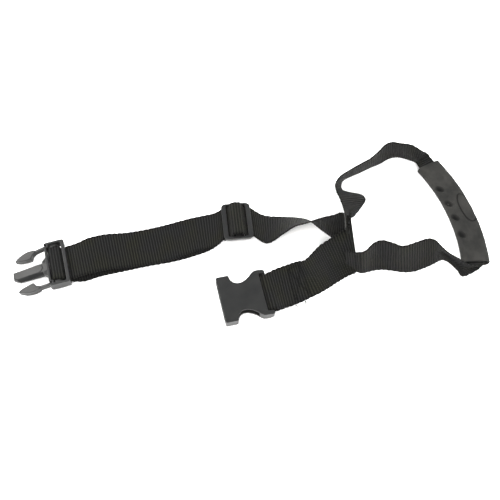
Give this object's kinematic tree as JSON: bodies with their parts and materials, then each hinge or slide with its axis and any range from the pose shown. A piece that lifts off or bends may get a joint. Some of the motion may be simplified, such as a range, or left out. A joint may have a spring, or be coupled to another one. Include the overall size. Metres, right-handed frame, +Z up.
{
  "type": "gait belt",
  "caption": "Black webbing gait belt with a side-release buckle, a sliding adjuster and a sewn side handle carrying a rubber hand grip.",
  "frame": {"origin": "on the floor under the middle of the belt's bounding box as it lies", "axes": "+X from the plug buckle towards the handle, +Y towards the handle's far corner, +Z up from the floor"},
  "size_m": [0.4655, 0.2223, 0.0385],
  "materials": {
    "webbing": "ribbed woven polypropylene, satin",
    "thread": "twisted sewing thread",
    "buckle_plastic": "fine-grained moulded acetal",
    "grip_rubber": "matte, lightly scuffed",
    "grip_badge": "matte, blank"
  },
  "bodies": {
    "belt": {"belt_back": "webbing", "belt_fold": "webbing", "belt_front": "webbing", "belt_tail": "webbing", "upper_layer": "webbing", "lower_layer": "webbing", "handle_end_a": "webbing", "handle_end_b": "webbing", "stitch_socket": "thread", "stitch_end_a": "thread", "stitch_end_b": "thread"},
    "slider": {"adjuster": "buckle_plastic", "hump_web": "webbing", "sewn_loop": "webbing", "stitch_loop": "thread"},
    "plug_buckle": {"plug": "buckle_plastic"},
    "latch_arm_far": {"latch_far": "buckle_plastic"},
    "latch_arm_near": {"latch_near": "buckle_plastic"},
    "socket_buckle": {"socket": "buckle_plastic"},
    "handle": {"handle_web_a": "webbing", "handle_core": "webbing", "handle_web_b": "webbing"},
    "grip_sleeve": {"grip": "grip_rubber", "grip_badge": "grip_badge"}
  },
  "joints": [
    {"name": "plug_swing", "type": "hinge", "parent": "belt", "child": "plug_buckle", "pos_m": [-0.19341, -0.04232, 0.00888], "axis": [-0.2705, 0.9621, 0.0349], "range_deg": [0, 35], "deforming": ["upper_layer", "lower_layer"]},
    {"name": "latch_far_flex", "type": "hinge", "parent": "plug_buckle", "child": "latch_arm_far", "pos_m": [-0.2049, -0.02249, 0.00936], "axis": [-0.041, -0.0477, 0.998], "range_deg": [0, 7], "stiffness_Nm_per_rad": 1.2},
    {"name": "latch_near_flex", "type": "hinge", "parent": "plug_buckle", "child": "latch_arm_near", "pos_m": [-0.19289, -0.06521, 0.00781], "axis": [0.041, 0.0477, -0.998], "range_deg": [0, 7], "stiffness_Nm_per_rad": 1.2},
    {"name": "socket_swing", "type": "hinge", "parent": "belt", "child": "socket_buckle", "pos_m": [0.0132, -0.0764, 0.01], "axis": [-0.2289, 0.9608, 0.1564], "range_deg": [0, 50]},
    {"name": "adjuster_slide", "type": "slide", "parent": "belt", "child": "slider", "axis": [0.9945, 0.1045, 0], "range_m": [-0.01, 0.01], "deforming": ["belt_back", "upper_layer", "lower_layer"]},
    {"name": "handle_lift", "type": "hinge", "parent": "belt", "child": "handle", "pos_m": [0.099, -0.022, 0.024], "axis": [0.2447, -0.9382, -0.2447], "range_deg": [0, 60], "deforming": ["handle_web_a", "handle_web_b"]},
    {"name": "grip_creep", "type": "hinge", "parent": "handle", "child": "grip_sleeve", "pos_m": [-0.024, -0.0215, 0.0046], "axis": [0, 0, 1], "range_deg": [-1, 1], "deforming": ["handle_web_a", "handle_web_b"]}
  ]
}
